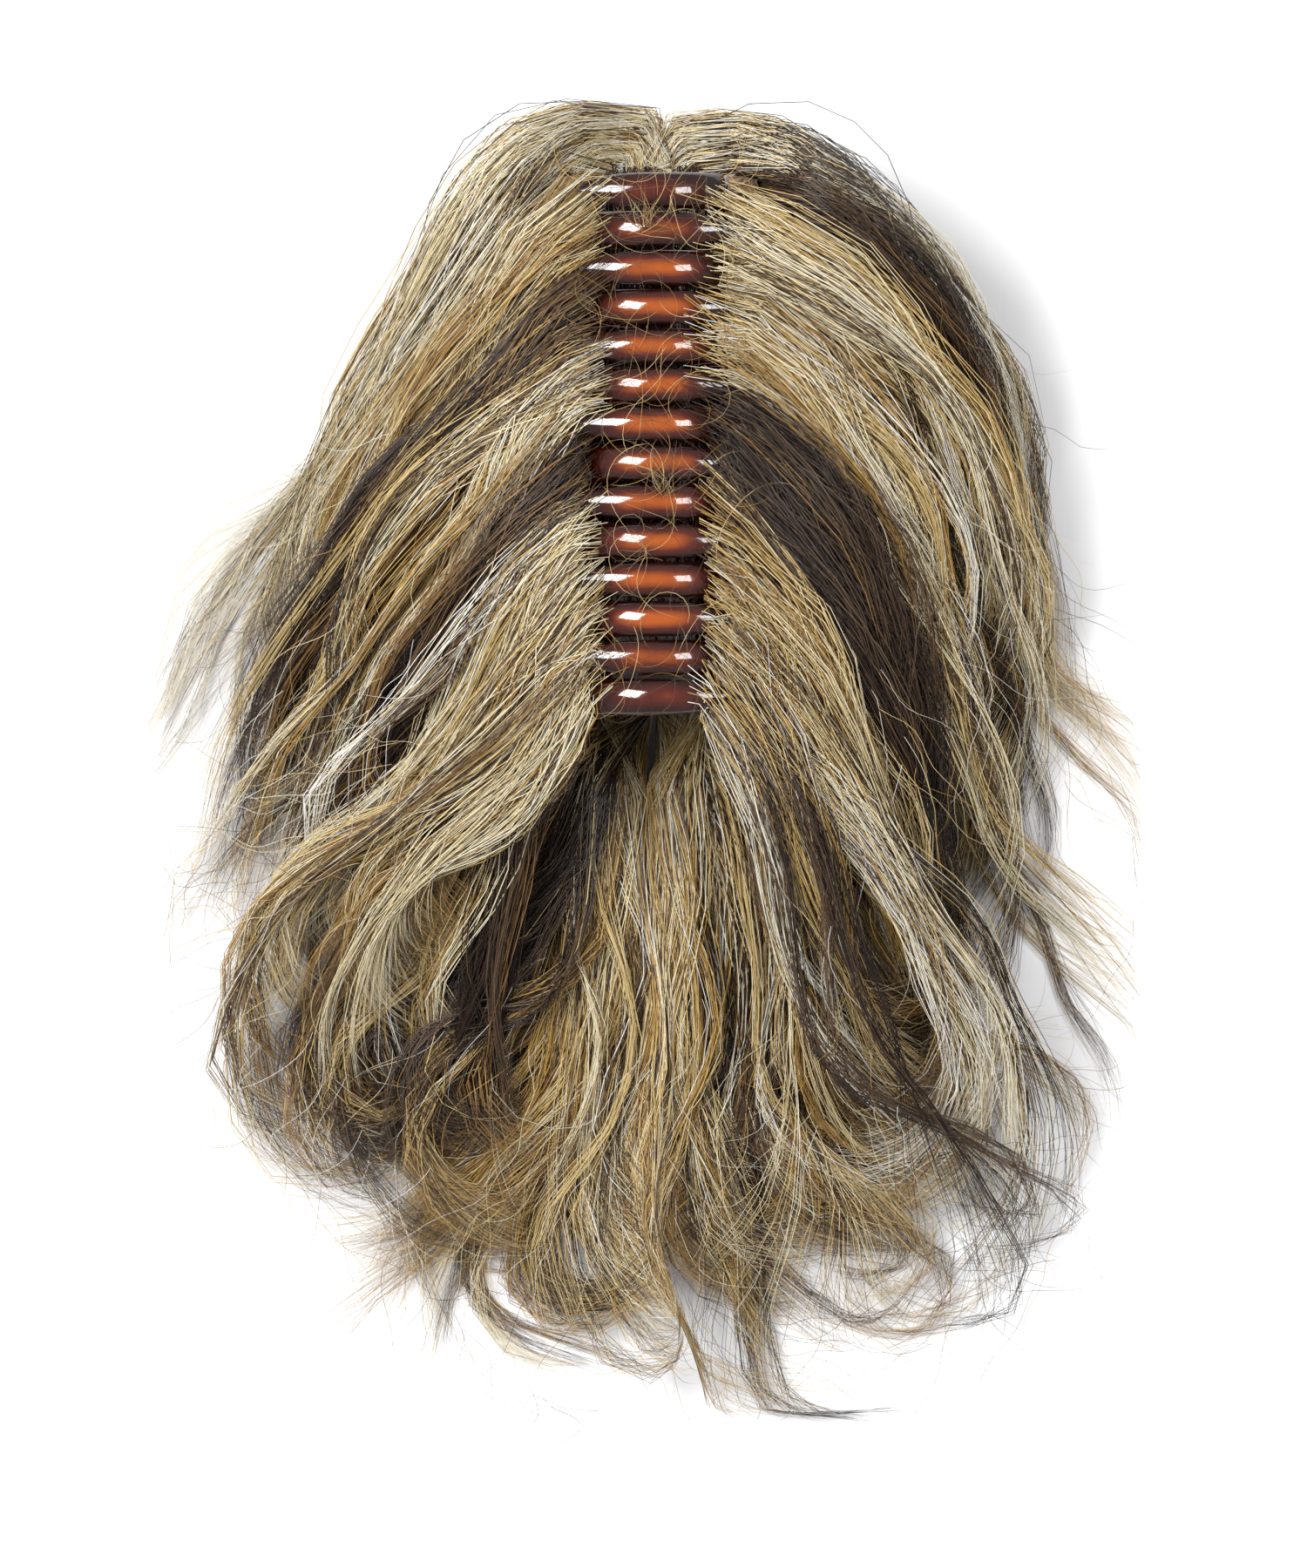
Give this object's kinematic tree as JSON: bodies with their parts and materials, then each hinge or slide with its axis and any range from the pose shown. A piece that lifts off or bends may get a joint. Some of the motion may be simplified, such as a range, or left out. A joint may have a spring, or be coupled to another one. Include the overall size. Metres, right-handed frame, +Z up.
{
  "type": "claw clip ponytail hairpiece",
  "caption": "Sprung two-jaw claw clip with interlocking curved teeth and blonde and brown hair locks sewn round both jaws.",
  "frame": {"origin": "under the middle of the overall outline, on the surface that the levers and hair tips rest on", "axes": "+Y along the clip from the loose hair ends to the crown, +Z up out of the teeth, +X to the half that swings open"},
  "size_m": [0.1611, 0.2208, 0.0493],
  "materials": {
    "amber_plastic": "gloss",
    "steel": "satin",
    "weft_tape": "matte",
    "thread": "matte",
    "hair_pale": "satin",
    "hair_straw": "satin",
    "hair_brown": "satin"
  },
  "bodies": {
    "left_half": {"jaw_left": "amber_plastic", "hinge_pin": "steel", "torsion_spring": "steel", "upper_weft_left": "weft_tape", "lower_weft_left": "weft_tape", "crown_weft_left": "weft_tape", "bottom_weft_left": "weft_tape", "stitching_left": "thread", "crown_lock_left_1": "hair_pale", "side_lock_left_1": "hair_straw", "side_lock_left_2": "hair_brown", "side_lock_left_3": "hair_pale", "side_lock_left_4": "hair_straw", "side_lock_left_5": "hair_pale", "side_lock_left_6": "hair_straw", "bottom_lock_left_1": "hair_brown", "bottom_lock_left_2": "hair_straw", "bottom_lock_left_3": "hair_pale", "under_lock_left_1": "hair_brown", "under_lock_left_2": "hair_brown", "under_lock_left_3": "hair_brown"},
    "right_half": {"jaw_right": "amber_plastic", "upper_weft_right": "weft_tape", "lower_weft_right": "weft_tape", "crown_weft_right": "weft_tape", "bottom_weft_right": "weft_tape", "stitching_right": "thread", "crown_lock_right_1": "hair_pale", "side_lock_right_1": "hair_pale", "side_lock_right_2": "hair_straw", "side_lock_right_3": "hair_brown", "side_lock_right_4": "hair_straw", "side_lock_right_5": "hair_brown", "side_lock_right_6": "hair_straw", "bottom_lock_right_1": "hair_straw", "bottom_lock_right_2": "hair_brown", "bottom_lock_right_3": "hair_pale", "under_lock_right_1": "hair_brown", "under_lock_right_2": "hair_brown", "under_lock_right_3": "hair_brown"}
  },
  "joints": [
    {"name": "jaw_hinge", "type": "hinge", "parent": "left_half", "child": "right_half", "pos_m": [0, 0.0528, 0.014], "axis": [0, 1, 0], "range_deg": [0, 75], "stiffness_Nm_per_rad": 0.12, "springref_deg": -34.38, "deforming": ["torsion_spring"]}
  ]
}
